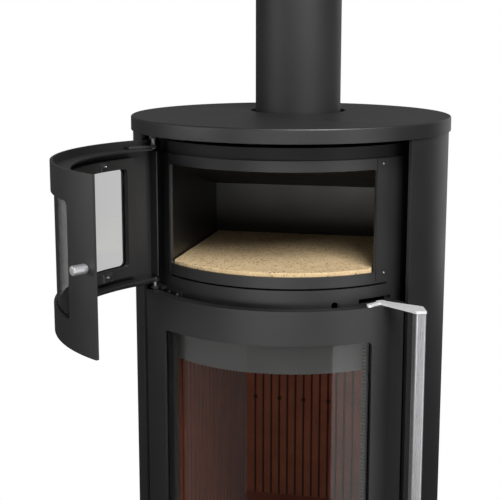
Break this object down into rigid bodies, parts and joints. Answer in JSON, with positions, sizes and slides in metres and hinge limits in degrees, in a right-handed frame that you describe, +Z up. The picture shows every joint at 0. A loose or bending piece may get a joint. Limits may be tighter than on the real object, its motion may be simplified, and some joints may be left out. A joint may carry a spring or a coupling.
{
  "type": "round wood stove with baking compartment",
  "caption": "Tall round steel wood stove: glass fire door with a bar handle, baking compartment with its own glass door above, store below, flue pipe on top.",
  "frame": {"origin": "on the stove's vertical axis at floor level, in the underside of the plinth", "axes": "+Z up, -Y out through the doors, +X to the right of someone facing the doors"},
  "size_m": [0.5478, 0.8457, 1.54],
  "materials": {
    "black_steel": "satin black stove paint",
    "flue_steel": "matt black flue paint",
    "inner_steel": "matt black",
    "cast_iron": "rough, as cast",
    "firebrick": "dull, fluted",
    "baking_stone": "fine speckle, dull",
    "glass": "clear ceramic glass",
    "brushed": "fine brushed",
    "zinc": "zinc plated",
    "rope": "woven glass-fibre rope"
  },
  "bodies": {
    "casing": {"base_plinth": "inner_steel", "base_plate": "black_steel", "side_panel_left": "black_steel", "side_panel_right": "black_steel", "rear_panel": "black_steel", "top_plate": "black_steel", "inner_jacket": "inner_steel", "front_fascia": "black_steel", "body_top": "inner_steel", "flue_collar": "inner_steel", "flue_pipe": "flue_steel", "oven_box": "inner_steel", "baking_stone": "baking_stone", "firebox_floor": "inner_steel", "hearth_brick": "firebrick", "grate": "cast_iron", "firebrick_left": "firebrick", "firebrick_right": "firebrick", "firebrick_back": "firebrick", "baffle_plate": "firebrick", "log_guard": "cast_iron", "air_chamber_floor": "inner_steel", "air_spigot": "zinc", "air_lever_pin": "zinc", "ash_shelf": "inner_steel", "ash_pan": "zinc", "hinge_bracket_top": "black_steel", "hinge_bracket_middle": "black_steel", "hinge_bracket_lower": "black_steel", "hinge_bracket_base": "black_steel", "hinge_pin_top": "zinc", "hinge_pin_middle": "zinc", "hinge_pin_fire_lower": "zinc", "hinge_pin_store_upper": "zinc", "hinge_pin_store_lower": "zinc"},
    "oven_door": {"oven_door_shell": "black_steel", "oven_door_glass": "glass", "oven_door_frame": "black_steel", "oven_glass_clip_upper": "zinc", "oven_glass_clip_lower": "zinc", "oven_door_knob": "brushed", "oven_hinge_strap_upper": "black_steel", "oven_hinge_strap_lower": "black_steel"},
    "fire_door": {"fire_door_shell": "black_steel", "fire_door_glass": "glass", "fire_door_frame": "inner_steel", "fire_door_seal": "rope", "fire_hinge_strap_upper": "black_steel", "fire_hinge_strap_lower": "black_steel"},
    "handle": {"handle_bar": "brushed", "latch_arm_upper": "brushed", "latch_arm_lower": "brushed", "latch_rod": "zinc"},
    "lower_door": {"lower_door_shell": "black_steel", "lower_door_knob": "brushed", "lower_hinge_strap_upper": "black_steel", "lower_hinge_strap_lower": "black_steel"},
    "air_control": {"air_lever": "zinc", "air_lever_knob": "brushed"}
  },
  "joints": [
    {"name": "oven_door_hinge", "type": "hinge", "parent": "casing", "child": "oven_door", "pos_m": [-0.194, -0.162, 1.138], "axis": [0, 0, 1], "range_deg": [-10, 83.4]},
    {"name": "fire_door_hinge", "type": "hinge", "parent": "casing", "child": "fire_door", "pos_m": [-0.194, -0.162, 0.729], "axis": [0, 0, -1], "range_deg": [0, 95]},
    {"name": "handle_turn", "type": "hinge", "parent": "fire_door", "child": "handle", "pos_m": [0.17674, -0.18657, 0.729], "axis": [0, 0, -1], "range_deg": [0, 68]},
    {"name": "lower_door_hinge", "type": "hinge", "parent": "casing", "child": "lower_door", "pos_m": [-0.194, -0.162, 0.224], "axis": [0, 0, -1], "range_deg": [0, 95]},
    {"name": "air_lever_turn", "type": "hinge", "parent": "casing", "child": "air_control", "pos_m": [0, -0.15, 0.4265], "axis": [0, 0, 1], "range_deg": [-15, 15]}
  ]
}
